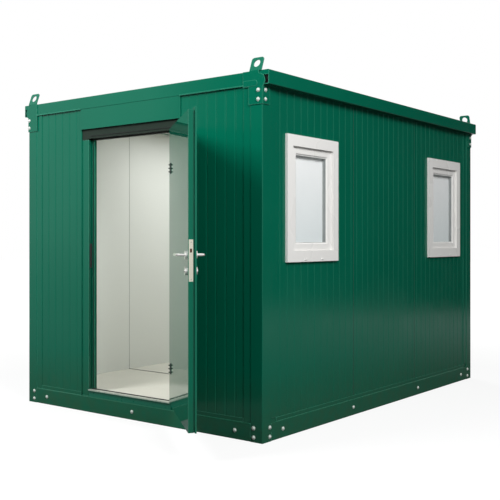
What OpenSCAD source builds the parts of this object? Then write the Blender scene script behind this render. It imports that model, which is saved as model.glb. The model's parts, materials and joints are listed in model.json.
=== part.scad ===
// Portable site cabin: bolted steel frame, ribbed sandwich panels, one hinged door and two windows.
// Millimetres. The origin lies on the ground under the middle of the cabin, +Z is up,
// the door end faces -Y and the windowed side faces +X.

/* [Cabin] */
// Width of the door end, over the corner posts
cabin_w = 2300; // [2250:10:3000]
// Length of the windowed side, over the corner posts
cabin_l = 3200; // [3100:10:4200]
// Height from the ground to the top of the roof frame
cabin_h = 2330; // [2300:10:2800]

/* [Base frame] */
// Height of the base rails
rail_h = 115; // [100:1:125]
// Width of a base rail's top flange, which carries the panels and the floor
rail_flange_w = 85; // [82:1:110]
// Width of a base rail's bottom flange
rail_foot_w = 60; // [40:1:80]
// Sheet thickness of the folded rails, roof beams and eave channels
steel_t = 4; // [2:0.5:5]
// Outer radius of the folds on rails, posts, roof beams and eave channels
fold_r = 5; // [2:0.5:6]
// Height of the lip that laps the foot of the panels
lip_h = 26; // [10:1:30]
// Number of floor joists, an odd number so that one lies under the middle
joist_count = 5; // [3:2:9]
// Width of a floor joist
joist_w = 50; // [40:1:70]
// Thickness of the floor deck
deck_t = 25; // [18:1:25]

/* [Corner posts] */
// Width of a post's outer face, each way from the corner
post_w = 95; // [86:1:110]
// Distance from the corner to the far edge of the set-back strip beside a post
post_strip_w = 155; // [130:1:165]
// Sheet thickness of a post
post_t = 5; // [4:0.5:8]
// How far the strip is set back from the post's face
strip_recess = 4; // [2:0.5:6]
// Radius on the edges of the post's faces and strips
edge_r = 4; // [1:0.5:4]
// Clear height between a rail's top and the foot of the strip on a long side
strip_foot_gap = 30; // [26:1:60]
// Thickness of the plate under a post
foot_plate_t = 6; // [4:1:12]

/* [Wall panels] */
// Thickness of a sandwich panel
panel_t = 70; // [50:1:72]
// Number of grooves across a panel of a long side
panel_grooves = 12; // [6:1:16]
// Width of a groove at the surface
groove_w = 14; // [6:0.5:20]
// Depth of a groove
groove_d = 1.6; // [1:0.1:5]
// Distance from the right post's strip to the first groove on the door end
groove_start = 68; // [40:1:90]
// Distance from the left post's strip to the first groove on the door end
groove_start_left = 80; // [40:1:90]
// Width of the bevel along a panel's upright edges
panel_bevel = 3; // [1:0.5:5]
// How far the joints of the left wall lie nearer to the door end than those of the right wall
left_joint_shift = 103; // [0:1:150]
// Space between a side panel's end and the post behind which it tucks
panel_tuck = 7; // [2:1:12]

/* [Roof] */
// Height of the roof frame
roof_frame_h = 90; // [80:1:120]
// How far the eave channels stand out from the posts
eave_out = 50; // [30:1:80]
// Width of an eave channel's top flange
eave_top_w = 45; // [20:1:50]
// Width of a roof beam's top flange
beam_top_w = 50; // [30:1:60]
// How far the drip fold at the foot of a roof beam stands out
drip_out = 6; // [3:1:6]
// Height of the drip fold
drip_h = 7; // [5:1:15]
// Height of the tab that closes the upper part of an eave channel's end
eave_tab_h = 31; // [20:1:50]
// Thickness of the ceiling panel
ceiling_t = 56; // [40:1:58]
// How far the ceiling panel lies on each eave channel
ceiling_bearing = 45; // [20:1:60]
// Thickness of the roof sheet
roof_sheet_t = 2; // [1:0.5:3]
// Height of the roof sheet's ribs
roof_rib_h = 18; // [10:1:20]
// Spacing of the roof sheet's ribs
roof_rib_pitch = 250; // [200:5:300]
// Width of a rib's crest
roof_rib_crest = 30; // [20:1:50]
// Width of a rib's sloping side
roof_rib_slope = 20; // [10:1:30]

/* [Lifting brackets] */
// Plate thickness of a bracket
bracket_t = 6; // [6:1:12]
// Width of a bracket's lower leg on the end wall
bracket_w = 105; // [90:1:120]
// Width of a right-hand bracket's head on the end wall
bracket_head_w = 150; // [125:1:180]
// Width of a bracket's leg on the long side
bracket_side_w = 70; // [60:1:100]
// Distance from the roof top down to a bracket's foot
bracket_drop = 210; // [180:1:300]
// Distance from the roof top down to the foot of the wide head
bracket_head_drop = 98; // [96:1:130]
// Fold radius of a bracket's corner
bracket_fold_r = 8; // [4:1:8]
// Radius of the round ear beside a bracket's neck
ear_r = 47; // [35:1:50]
// How far the ear stands out past the corner
ear_out = 22; // [10:1:30]
// Distance from the roof top down to the middle of the ear
ear_drop = 65; // [60:1:75]
// Distance from the corner to the round end of the pressed bead
bead_start = 36; // [30:1:60]
// Length of the pressed bead
bead_l = 110; // [60:1:112]
// Width of the pressed bead
bead_w = 36; // [12:1:40]
// Height of the pressed bead
bead_h = 2; // [1:0.5:4]
// Distance from the roof top down to the middle of the bead
bead_drop = 77; // [60:1:78]
// Width of a lifting eye
eye_w = 95; // [80:1:100]
// Height of a lifting eye above its bend, along its plate
eye_h = 88; // [80:1:110]
// Diameter of the hole in a lifting eye
eye_hole_d = 50; // [25:1:55]
// Height of the hole's centre above the bend, along the plate
eye_hole_z = 46; // [36:1:50]
// Corner radius of a lifting eye
eye_corner_r = 18; // [8:1:25]
// Angle at which a lifting eye leans inwards
eye_lean = 20; // [5:1:30]
// Inner radius of a lifting eye's bend
eye_bend_r = 10; // [5:1:20]
// Distance from the corner to the middle of a lifting eye
eye_inset = 51; // [51:1:60]

/* [Doorway] */
// Distance from the left corner to the door module
door_offset = 608; // [520:1:700]
// Width of the door module, frame included
door_module_w = 1000; // [950:1:1100]
// Width of a jamb's face
jamb_w = 90; // [84:1:100]
// Height of the flat panel between the door head and the roof frame
transom_h = 149; // [120:1:250]
// How far that panel's face is set back from the roof frame
transom_recess = 1.5; // [0.5:0.5:6]
// Height of the door head's face
head_h = 80; // [70:1:100]
// How far the door frame's face is set back from the posts
frame_recess = 19; // [18:0.5:24]
// Width of the stop on the lock side
stop_w = 21; // [18:1:30]
// Height of the stop at the head
stop_head_w = 10; // [9.5:0.5:25]
// Width of the stop on the hinge side
stop_hinge_w = 60; // [54:1:64]
// Height of the sill's nose above the base rail
sill_h = 53; // [45:1:60]
// Depth of the sill's nose, from front to back
sill_nose_w = 28; // [20:1:40]
// How far the sill's nose stands out from the posts
sill_out = 6; // [2:1:10]
// Height of the pale strip on the sill's nose
sill_strip_h = 12; // [8:1:20]
// Height of the sill's back above the base rail
sill_back_h = 31; // [26:1:40]

/* [Door leaf] */
// Angle at which the door stands open, from shut
open_angle = 140; // [0:1:165]
// Thickness of the leaf's body, inner sheet included
leaf_t = 32; // [28:1:34]
// Thickness of the outer flange that laps the frame
flange_t = 10; // [8:1:14]
// Width of the seal groove between the body and the flange
seal_groove_w = 5; // [3:1:8]
// Depth of the seal groove
seal_groove_d = 10; // [5:1:15]
// How far the flange laps past the body at the top and on the lock side
flange_lap = 16; // [10:1:25]
// How far the flange laps past the body on the hinge side
flange_hinge_lap = 10; // [4:1:11]
// Gap between the leaf's body and the frame's rebate
leaf_gap = 8; // [7:0.5:10]
// Gap between the leaf and the frame's faces where the seals lie
seal_gap = 5; // [5:0.5:8]
// Gap between the leaf and the sill
leaf_foot_gap = 6; // [5:0.5:10]
// Thickness of the sheet on the leaf's inner side
inner_sheet_t = 1.5; // [1:0.5:3]

/* [Lock] */
// Height of the lever handles above the sill
lever_rise = 1017; // [850:1:1080]
// Distance from the leaf's free edge to the lever's axis
backset = 55; // [50:1:70]
// Distance from the lever's axis down to the key cylinder
cylinder_drop = 92; // [72:1:100]
// Diameter of the levers
lever_d = 18; // [14:1:20]
// Distance from the leaf's faces to the middle of the grips
lever_standoff = 55; // [45:1:65]
// Length of a grip from the lever's axis to the middle of its round end
grip_l = 120; // [100:1:130]
// Bend radius of the levers
lever_bend_r = 14; // [12:1:20]
// Diameter of the spindle between the levers
spindle_d = 9; // [8:0.5:10]
// Diameter of the spindle's hole through the leaf
spindle_hole_d = 13; // [12:0.5:14]
// Diameter of the roses
rose_d = 52; // [46:1:54]
// Thickness of the roses
rose_t = 12; // [5:1:16]
// Diameter of the key cylinder's face
key_face_d = 17; // [15:0.5:20]
// How far the key cylinder stands out from its rose
key_face_out = 5; // [1:0.5:6]
// Height of the lock's faceplate
faceplate_h = 239; // [200:1:260]
// Width of the lock's faceplate
faceplate_w = 25; // [18:1:26]
// Thickness of the lock's faceplate
faceplate_t = 3; // [2:0.5:4]
// Distance from the lever's axis up to the faceplate's top
faceplate_rise = 88; // [70:1:110]
// Width of the latch slot in the faceplate
latch_w = 12; // [8:1:14]
// Height of the latch slot
latch_h = 22; // [15:1:30]
// Height of the latch slot's middle above the lever's axis
latch_rise = 25; // [20:1:40]

/* [Hinges] */
// Height of the lower hinge's middle above the leaf's foot
hinge_low_rise = 246; // [150:1:400]
// Distance from the leaf's top down to the upper hinge's middle
hinge_high_drop = 270; // [150:1:400]
// Height of one hinge knuckle
knuckle_h = 24; // [18:1:30]
// Outer diameter of a knuckle
knuckle_d = 16; // [14:1:17]
// Diameter of the hinge pin
hinge_pin_d = 8; // [6:0.5:10]
// Distance from the leaf's body to the hinge axis
hinge_off = 20; // [18:1:24]
// Distance from the flange's face out to the hinge axis
hinge_out = 10; // [9.5:0.5:14]
// Length of the strap on the leaf, from the hinge axis
strap_l = 105; // [80:1:140]
// Thickness of the strap
strap_t = 6; // [4:0.5:8]
// Height of the strap's plate
strap_h = 70; // [40:1:90]
// Distance from the hinge axis to the strap's plate
strap_neck = 24; // [20:1:30]
// Thickness of the plate on the door frame
hinge_plate_t = 4; // [3:0.5:6]
// Width of the backing plate on the leaf's inner side
backing_w = 28; // [20:1:40]
// Thickness of the backing plate
backing_t = 4; // [3:0.5:6]
// Clear distance between the backing plate and the frame's stop
backing_gap = 8; // [6:1:20]

/* [Windows] */
// Width of a window frame
window_w = 620; // [500:1:660]
// Height of a window frame
window_h = 835; // [700:1:880]
// Distance from the corner to a window's near edge
window_corner = 259; // [200:1:300]
// Distance from the roof frame down to a window's top edge
window_drop = 280; // [200:1:400]
// How far a window frame stands out from the panel
window_out = 19; // [10:1:30]
// Width of the face of a window frame's uprights
window_face = 66; // [55:1:75]
// Height of the face of a window frame's top and bottom
window_rail = 74; // [55:1:80]
// Width of the edge of a window frame that laps the panel
window_lap = 16; // [10:1:20]
// Width of the face of a sash's uprights
sash_face = 60; // [45:1:70]
// Height of the face of a sash's top and bottom
sash_rail = 54; // [45:1:70]
// How far a sash is set back from its frame's face
sash_recess = 18; // [8:1:30]
// Thickness of a sash
sash_t = 46; // [40:1:60]
// Width of the bevel round the inside of a sash
sash_bevel = 10; // [4:1:16]
// Thickness of a glazing unit
pane_t = 28; // [12:1:30]
// How deep a glazing unit sits in its sash
pane_bite = 10; // [6:1:14]

/* [Fits] */
// Clearance round a piece that is set into another
fit_gap = 0.2; // [0.1:0.05:0.3]
// Clearance on the radius of a turning fit
run_gap = 0.05; // [0.02:0.01:0.1]
// Gap between the knuckles of a hinge
knuckle_gap = 0.5; // [0.3:0.1:1]

/* [Hidden] */
$fn = 48;
// Overlap of a cutting shape past the face that it cuts
over = 1;

// Levels and faces of the cabin
half_w = cabin_w / 2;
half_l = cabin_l / 2;
roof_z = cabin_h - roof_frame_h;
wall_h = roof_z - rail_h;
panel_recess = strip_recess + post_t;
inner_recess = panel_recess + panel_t;
room_half_w = half_w - inner_recess;
room_half_l = half_l - inner_recess;
strip_t = panel_recess - strip_recess;
ceiling_z = roof_z + steel_t;
sheet_z = ceiling_z + ceiling_t;

// Long side: equal panels between the strips of the posts
side_panel_count = 3;
panel_w = (cabin_l - 2 * post_strip_w) / side_panel_count;
groove_pitch = panel_w / panel_grooves;

// Bend of a lifting eye: its outer radius and the flats that it is drawn with
bend_outer_r = eye_bend_r + bracket_t;
bend_steps = 5;

// Ends of the drip folds, beside the brackets
drip_x0 = bracket_w + fit_gap - half_w;
drip_x1 = half_w - bracket_head_w - fit_gap;

// Places of the doorway, seen from the front
door_x0 = door_offset - half_w;
door_x1 = door_x0 + door_module_w;
clear_x0 = door_x0 + jamb_w;
clear_x1 = door_x1 - jamb_w;
clear_w = clear_x1 - clear_x0;
head_top_z = roof_z - transom_h;
door_head_z = head_top_z - head_h;
sill_top_z = rail_h + sill_h;
frame_y = frame_recess - half_l;
frame_back_y = inner_recess - half_l;

// Faces of the shut door leaf
leaf_x0 = clear_x0 - stop_w + leaf_gap;
leaf_x1 = clear_x1 + stop_hinge_w - leaf_gap;
leaf_z0 = sill_top_z + leaf_foot_gap;
leaf_z1 = door_head_z + stop_head_w - leaf_gap;
flange_back_y = frame_y - seal_gap;
flange_y = flange_back_y - flange_t;
body_y = flange_back_y + seal_groove_w;
inner_y = body_y + leaf_t;
stop_y = inner_y + seal_gap;
sheet_y = inner_y - inner_sheet_t;

// Places of the hinges
hinge_x = leaf_x1 + hinge_off;
hinge_y = flange_y - hinge_out;
hinge_low_z = leaf_z0 + hinge_low_rise;
hinge_high_z = leaf_z1 - hinge_high_drop;
hinge_half_h = 1.5 * knuckle_h + knuckle_gap;

// Places of the lock, on the shut leaf
lever_x = leaf_x0 + backset;
lever_z = sill_top_z + lever_rise;
lock_y = (body_y + sheet_y) / 2;
cylinder_z = lever_z - cylinder_drop;
faceplate_z = lever_z + faceplate_rise - faceplate_h;

// Places of the windows in the right side
window_y0 = window_corner - half_l;
window_z = roof_z - window_drop - window_h;
window_hole_w = window_w - 2 * window_lap;
window_hole_h = window_h - 2 * window_lap;
panel_x = half_w - panel_recess;
window_x = panel_x + window_out;
sash_x = window_x - sash_recess;
pane_x = sash_x - (sash_t - pane_t) / 2;
sash_w = window_w - 2 * window_face;
sash_h = window_h - 2 * window_rail;
glass_w = sash_w - 2 * sash_face;
glass_h = sash_h - 2 * sash_rail;

green = "#0d5a41";
dark_green = "#0a4a36";
white = "#e9e9e6";
cream = "#dcdac8";
steel = "#b9bcbd";
dark_steel = "#4a4d4d";
anthracite = "#3d3d3f";
glass = "#cfd8d8";

// Mirrors its children to the right when asked
module flip_x(on) {
    if (on) mirror([1, 0, 0]) children();
    else children();
}

// Mirrors its children to the back when asked
module flip_y(on) {
    if (on) mirror([0, 1, 0]) children();
    else children();
}

// Places a front left corner piece at any corner
module at_corner(right, back) {
    flip_x(right) flip_y(back) translate([-half_w, -half_l, 0]) children();
}

// Lays a section drawn as (depth, height) along X
module along_x(length) {
    rotate([90, 0, 90]) linear_extrude(length, center = true) children();
}

// Lays a section drawn as (x, height) along Y
module along_y(length) {
    rotate([90, 0, 0]) linear_extrude(length, center = true) children();
}

// Turns pieces of the shut door to where the open door stands
module on_open_door() {
    translate([hinge_x, hinge_y, 0]) rotate([0, 0, open_angle]) translate([-hinge_x, -hinge_y, 0]) children();
}

// What lies outside a rounded corner at the origin, for a piece that reaches towards +X and +Y
module corner_waste(r) {
    difference() {
        translate([-over, -over]) square(r + over);
        translate([r, r]) circle(r);
    }
}

// Channel section with two flanges, rounded at its outer folds, outer face at depth 0
module channel_section(height, bottom_w, top_w) {
    difference() {
        polygon([
            [0, 0], [bottom_w, 0], [bottom_w, steel_t], [steel_t, steel_t], [steel_t, height - steel_t],
            [top_w, height - steel_t], [top_w, height], [0, height],
        ]);
        corner_waste(fold_r);
        translate([0, height]) rotate(-90) corner_waste(fold_r);
    }
}

// Lip on a base rail that laps the foot of the panels, from x0 to x1
module rail_lip(x0, x1) {
    translate([x0, panel_recess - steel_t, rail_h - steel_t]) cube([x1 - x0, steel_t, lip_h + steel_t]);
}

// Base rail of one side, drawn as a front rail for the given length over the posts
module base_rail(length) {
    along_x(length - 2 * post_w) channel_section(rail_h, rail_foot_w, rail_flange_w);
}

module base_rail_front() {
    lip_end = half_w - post_strip_w;
    color(green) translate([0, -half_l, 0]) {
        base_rail(cabin_w);
        rail_lip(-lip_end, door_x0);
        rail_lip(door_x1, lip_end);
    }
}

module base_rail_back() {
    lip_end = half_w - post_strip_w;
    color(green) flip_y(true) translate([0, -half_l, 0]) {
        base_rail(cabin_w);
        rail_lip(-lip_end, lip_end);
    }
}

module side_rail() {
    lip_end = half_l - post_strip_w;
    rotate([0, 0, 90]) translate([0, -half_w, 0]) {
        base_rail(cabin_l);
        rail_lip(-lip_end, lip_end);
    }
}

module base_rail_right() {
    color(green) side_rail();
}

module base_rail_left() {
    color(green) flip_x(true) side_rail();
}

// Channel section joists between the long rails, one of them under the middle
module floor_joists() {
    joist_l = cabin_w - 2 * rail_flange_w;
    spacing = (cabin_l - 2 * rail_flange_w) / (joist_count + 1);
    color(dark_green)
        for (i = [0 : joist_count - 1])
            translate([0, (i - (joist_count - 1) / 2) * spacing, 0])
                along_x(joist_l)
                    difference() {
                        translate([-joist_w / 2, 0]) square([joist_w, rail_h]);
                        translate([steel_t - joist_w / 2, steel_t]) square([joist_w, rail_h - 2 * steel_t]);
                    }
}

module floor_deck() {
    color(cream)
        translate([fit_gap - room_half_w, fit_gap - room_half_l, rail_h])
            cube([2 * (room_half_w - fit_gap), 2 * (room_half_l - fit_gap), deck_t]);
}

// Plan of a post's two outer faces, folded at the corner
module post_plan() {
    difference() {
        polygon([[0, 0], [post_w, 0], [post_w, post_t], [post_t, post_t], [post_t, post_w], [0, post_w]]);
        corner_waste(fold_r);
        translate([post_w, 0]) rotate(90) corner_waste(edge_r);
        translate([0, post_w]) rotate(-90) corner_waste(edge_r);
    }
}

// Plan of the set-back strip beside the post's face on the door end
module strip_plan() {
    difference() {
        translate([post_w - post_t, strip_recess]) square([post_strip_w - post_w + post_t, strip_t]);
        translate([post_strip_w, strip_recess]) rotate(90) corner_waste(edge_r);
    }
}

// Plan of the set-back strip beside the post's face on the long side
module side_strip_plan() {
    difference() {
        translate([strip_recess, post_w - post_t]) square([strip_t, post_strip_w - post_w + post_t]);
        translate([strip_recess, post_strip_w]) rotate(-90) corner_waste(edge_r);
    }
}

// Folded corner post: two outer faces, set-back strips beside them and a foot plate
module corner_post(right, back) {
    strip_z = rail_h + strip_foot_gap;
    color(green) at_corner(right, back) {
        linear_extrude(roof_z) post_plan();
        translate([0, 0, rail_h]) linear_extrude(roof_z - rail_h) strip_plan();
        translate([0, 0, strip_z]) linear_extrude(roof_z - strip_z) side_strip_plan();
        linear_extrude(foot_plate_t) difference() {
            square(post_w);
            corner_waste(fold_r);
        }
    }
}

module corner_post_front_left() { corner_post(false, false); }
module corner_post_front_right() { corner_post(true, false); }
module corner_post_back_left() { corner_post(false, true); }
module corner_post_back_right() { corner_post(true, true); }

// Outline of a lifting eye, from below its bend to its rounded top
module eye_outline() {
    difference() {
        union() {
            translate([-eye_w / 2, -bend_outer_r]) square([eye_w, eye_h - eye_corner_r + bend_outer_r]);
            translate([eye_corner_r - eye_w / 2, 0]) square([eye_w - 2 * eye_corner_r, eye_h]);
            for (side = [-1, 1])
                translate([side * (eye_w / 2 - eye_corner_r), eye_h - eye_corner_r]) circle(eye_corner_r);
        }
        translate([0, eye_hole_z]) circle(d = eye_hole_d);
    }
}

// Outline of the pressed bead: a round end towards the corner and a straight end
module bead_outline() {
    translate([bead_w / 2, 0]) circle(d = bead_w);
    translate([bead_w / 2, -bead_w / 2]) square([bead_l - bead_w / 2, bead_w]);
}

// Outline of a bracket's head, hanging from the roof top, with a round ear past the corner
module head_outline(width, drop) {
    ear_x = ear_r - ear_out;
    translate([ear_x, -drop]) square([width - ear_x, drop]);
    translate([ear_x, -ear_drop]) circle(ear_r);
}

// Plan of a bracket's two legs, folded round the post
module bracket_plan() {
    difference() {
        polygon([
            [-bracket_t, -bracket_t], [bracket_w, -bracket_t], [bracket_w, 0], [0, 0],
            [0, bracket_side_w], [-bracket_t, bracket_side_w],
        ]);
        translate([-bracket_t, -bracket_t]) corner_waste(bracket_fold_r);
    }
}

// Point of a lifting eye's side view as (depth, height): round the bend by an angle, then up the leaning plate
function eye_point(r, angle, rise = 0) = [
    eye_bend_r - r * cos(angle) + rise * sin(angle),
    r * sin(angle) + rise * cos(angle),
];

// Side view of a lifting eye: the bend on the head's top edge, then the leaning plate
module eye_side() {
    turns = [for (i = [0 : bend_steps]) eye_lean * i / bend_steps];
    outer = [for (angle = turns) eye_point(bend_outer_r, angle)];
    inner = [for (i = [bend_steps : -1 : 0]) eye_point(eye_bend_r, turns[i])];
    top = [for (r = [bend_outer_r, eye_bend_r]) eye_point(r, eye_lean, eye_h + over)];
    polygon(concat(outer, top, inner));
}

// Lifting eye that rises from the head's top edge through a bend and leans inwards
module lifting_eye() {
    translate([eye_inset, 0, cabin_h]) intersection() {
        along_x(eye_w + 2 * over) eye_side();
        translate([0, eye_bend_r, 0])
            rotate([90 - eye_lean, 0, 0]) linear_extrude(bend_outer_r + over) eye_outline();
    }
}

// Angle plate bolted over a post's head, with a bent lifting eye; a right-hand one has a wide beaded head
module lifting_bracket(right, back) {
    foot_z = cabin_h - bracket_drop;
    head_w = right ? bracket_head_w : bracket_w;
    color(green) at_corner(right, back) {
        translate([0, 0, foot_z]) linear_extrude(roof_z - foot_z) bracket_plan();
        translate([0, 0, cabin_h])
            rotate([90, 0, 0]) linear_extrude(bracket_t) head_outline(head_w, bracket_head_drop);
        lifting_eye();
        if (right)
            translate([bead_start, -bracket_t / 2, cabin_h - bead_drop])
                rotate([90, 0, 0]) linear_extrude(bead_h + bracket_t / 2) bead_outline();
    }
}

module lifting_bracket_front_left() { lifting_bracket(false, false); }
module lifting_bracket_front_right() { lifting_bracket(true, false); }
module lifting_bracket_back_left() { lifting_bracket(false, true); }
module lifting_bracket_back_right() { lifting_bracket(true, true); }

// Drip fold at the foot of a roof beam, from x0 to x1
module drip_fold(x0, x1) {
    translate([x0, -drip_out, 0]) cube([x1 - x0, drip_out + steel_t, drip_h]);
}

// Channel section roof beam with its drip folds
module roof_beam() {
    translate([0, -half_l, roof_z]) {
        along_x(cabin_w - 2 * rail_flange_w) channel_section(roof_frame_h, rail_flange_w, beam_top_w);
        children();
    }
}

module roof_beam_front() {
    color(green) roof_beam() {
        drip_fold(drip_x0, door_x0);
        drip_fold(door_x1, drip_x1);
    }
}

module roof_beam_back() {
    color(green) flip_y(true) roof_beam() drip_fold(drip_x0, drip_x1);
}

// Tab that closes the upper part of an eave channel's front end
module eave_tab() {
    tab_x = half_w - rail_flange_w + fit_gap;
    tab_w = half_w + eave_out - steel_t - tab_x;
    translate([tab_x, -half_l, roof_frame_h - eave_tab_h]) cube([tab_w, steel_t, eave_tab_h]);
}

// Channel along a long side, open at both ends but for the tabs, standing out past the posts
module eave_channel() {
    eave_x = half_w + eave_out;
    translate([0, 0, roof_z]) {
        along_y(cabin_l)
            translate([eave_x, 0]) mirror([1, 0])
                channel_section(roof_frame_h, eave_out + rail_flange_w, eave_top_w);
        eave_tab();
        flip_y(true) eave_tab();
    }
}

module eave_channel_right() { color(green) eave_channel(); }
module eave_channel_left() { color(green) flip_x(true) eave_channel(); }

module ceiling_panel() {
    bearing_w = 2 * (half_w - rail_flange_w + ceiling_bearing);
    bearing_l = cabin_l - 2 * (steel_t + fit_gap);
    color(white) translate([-bearing_w / 2, -bearing_l / 2, ceiling_z]) cube([bearing_w, bearing_l, ceiling_t]);
}

// Height of the ribbed roof sheet's underside along its corners, from one rib to the next
function rib_line(y0) = [
    [y0 - roof_rib_crest / 2 - roof_rib_slope, 0], [y0 - roof_rib_crest / 2, roof_rib_h],
    [y0 + roof_rib_crest / 2, roof_rib_h], [y0 + roof_rib_crest / 2 + roof_rib_slope, 0],
];

// Trapezoidal sheet whose ribs shed water towards the eave channels
module roof_sheet() {
    sheet_half_l = half_l - steel_t - fit_gap;
    rib_count = floor(2 * (sheet_half_l - roof_rib_crest - roof_rib_slope) / roof_rib_pitch);
    underside = [
        [-sheet_half_l, 0],
        for (i = [0 : rib_count - 1]) each rib_line((i - (rib_count - 1) / 2) * roof_rib_pitch),
        [sheet_half_l, 0],
    ];
    topside = [for (i = [len(underside) - 1 : -1 : 0]) underside[i] + [0, roof_sheet_t]];
    color(steel) translate([0, 0, sheet_z]) along_x(cabin_w) polygon(concat(underside, topside));
}

// Panel on the base rail from x0 to x1, outer face towards -Y at depth 0, with grooves at the given places
module ribbed_panel(x0, x1, grooves) {
    flat = groove_w / 4;
    outer = [
        [x0, panel_bevel],
        [x0 + panel_bevel, 0],
        for (g = grooves) each [
            [g - groove_w / 2, 0], [g - flat, groove_d], [g + flat, groove_d], [g + groove_w / 2, 0],
        ],
        [x1 - panel_bevel, 0],
        [x1, panel_bevel],
    ];
    translate([0, 0, rail_h]) linear_extrude(wall_h) polygon(concat(outer, [[x1, panel_t], [x0, panel_t]]));
}

// Places of grooves at the pitch from a to b
function groove_places(a, b) = [for (g = [a : groove_pitch : b]) g];

// Panel beside the doorway, from the room's corner to the door module at distance reach from the middle
module end_panel(reach, start) {
    first = post_strip_w + start - half_w;
    translate([0, panel_recess - half_l, 0])
        ribbed_panel(-room_half_w, -reach, groove_places(first, -reach - groove_w));
}

module front_panel_left() { color(green) end_panel(-door_x0, groove_start_left); }
module front_panel_right() { color(green) flip_x(true) end_panel(door_x1, groove_start); }

module door_transom() {
    color(green)
        translate([door_x0, transom_recess - half_l, head_top_z])
            cube([door_module_w, inner_recess - transom_recess, roof_z - head_top_z]);
}

// Lays panels of a long side, drawn along X facing -Y, on the right side
module on_right_side() {
    rotate([0, 0, 90]) translate([0, panel_recess - half_w, 0]) children();
}

// Panel from the front corner to the middle panel's joint, grooved as far as the post's strip
module side_end_panel(joint_y) {
    end_y = post_t + panel_tuck - half_l;
    last = joint_y - groove_pitch / 2;
    more = floor((last + half_l - post_strip_w - groove_w) / groove_pitch);
    on_right_side() ribbed_panel(end_y, joint_y, groove_places(last - more * groove_pitch, last + over));
}

// Middle panel, moved along the wall by the shift
module side_middle_panel(shift) {
    edge = (panel_w - groove_pitch) / 2;
    on_right_side()
        ribbed_panel(shift - panel_w / 2, shift + panel_w / 2, groove_places(shift - edge, shift + edge + over));
}

// Hole for the front window through the right wall
module window_hole() {
    translate([half_w - inner_recess - over, window_y0 + window_lap, window_z + window_lap])
        cube([panel_t + 2 * over, window_hole_w, window_hole_h]);
}

module right_panel_front() {
    color(green) difference() {
        side_end_panel(-panel_w / 2);
        window_hole();
    }
}

module right_panel_back() {
    color(green) flip_y(true) difference() {
        side_end_panel(-panel_w / 2);
        window_hole();
    }
}

module right_panel_middle() { color(green) side_middle_panel(0); }
module left_panel_front() { color(green) flip_x(true) side_end_panel(-panel_w / 2 - left_joint_shift); }
module left_panel_middle() { color(green) flip_x(true) side_middle_panel(-left_joint_shift); }
module left_panel_back() {
    color(green) flip_x(true) flip_y(true) side_end_panel(left_joint_shift - panel_w / 2);
}

// One half of the back wall, seen from the front
module back_panel() {
    first = post_strip_w + groove_start - half_w;
    flip_y(true) translate([0, panel_recess - half_l, 0])
        ribbed_panel(-room_half_w, 0, groove_places(first, -groove_w));
}

module back_panel_left() { color(green) back_panel(); }
module back_panel_right() { color(green) flip_x(true) back_panel(); }

// Space that the shut leaf's body takes in the door frame's rebate
module rebate_space() {
    translate([clear_x0 - stop_w, frame_y - over, sill_top_z])
        cube([clear_w + stop_w + stop_hinge_w, stop_y - frame_y + over, door_head_z + stop_head_w - sill_top_z]);
}

// Upright of the door frame from x0, with the leaf's rebate cut in
module door_jamb(x0) {
    color(green) difference() {
        translate([x0, frame_y, rail_h]) cube([jamb_w, frame_back_y - frame_y, door_head_z - rail_h]);
        rebate_space();
    }
}

module door_jamb_left() { door_jamb(door_x0); }
module door_jamb_right() { door_jamb(clear_x1); }

module door_head() {
    color(anthracite) difference() {
        translate([door_x0, frame_y, door_head_z]) cube([door_module_w, frame_back_y - frame_y, head_h]);
        rebate_space();
    }
}

// Folded sill between the jambs, with a pale strip on its nose
module door_sill() {
    nose_y = -sill_out;
    face_y = steel_t;
    nose_back_y = nose_y + sill_nose_w;
    color(steel) translate([(clear_x0 + clear_x1) / 2, -half_l, rail_h])
        along_x(clear_w)
            polygon([
                [face_y, 0], [inner_recess, 0], [inner_recess, sill_back_h], [nose_back_y, sill_back_h],
                [nose_back_y, sill_h], [nose_y, sill_h], [nose_y, sill_h - sill_strip_h],
                [face_y, sill_h - sill_strip_h],
            ]);
}

// Cylinder through the whole leaf along Y at (x, z)
module leaf_hole(x, z, d) {
    translate([x, flange_y - over, z])
        rotate([-90, 0, 0]) cylinder(d = d, h = inner_y - flange_y + 2 * over);
}

// Body with a seal groove round it and a flange that laps the frame
module door_leaf() {
    leaf_w = leaf_x1 - leaf_x0;
    leaf_h = leaf_z1 - leaf_z0;
    color(green) on_open_door() difference() {
        union() {
            translate([leaf_x0, body_y, leaf_z0]) cube([leaf_w, sheet_y - body_y, leaf_h]);
            translate([leaf_x0 + seal_groove_d, flange_y, leaf_z0])
                cube([leaf_w - 2 * seal_groove_d, sheet_y - flange_y, leaf_h - seal_groove_d]);
            translate([leaf_x0 - flange_lap, flange_y, leaf_z0])
                cube([leaf_w + flange_lap + flange_hinge_lap, flange_t, leaf_h + flange_lap]);
        }
        leaf_hole(lever_x, lever_z, spindle_hole_d);
        translate([leaf_x0 - over, lock_y - faceplate_w / 2 - fit_gap, faceplate_z - fit_gap])
            cube([faceplate_t + over, faceplate_w + 2 * fit_gap, faceplate_h + 2 * fit_gap]);
    }
}

module door_inner_sheet() {
    color(green) on_open_door() difference() {
        translate([leaf_x0, sheet_y, leaf_z0]) cube([leaf_x1 - leaf_x0, inner_sheet_t, leaf_z1 - leaf_z0]);
        leaf_hole(lever_x, lever_z, spindle_hole_d);
    }
}

// Plate let into the leaf's free edge, with the latch slot
module lock_faceplate() {
    color(steel) on_open_door() difference() {
        translate([leaf_x0, lock_y - faceplate_w / 2, faceplate_z]) cube([faceplate_t, faceplate_w, faceplate_h]);
        translate([leaf_x0 - over, lock_y - latch_w / 2, lever_z + latch_rise - latch_h / 2])
            cube([faceplate_t + 2 * over, latch_w, latch_h]);
    }
}

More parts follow.
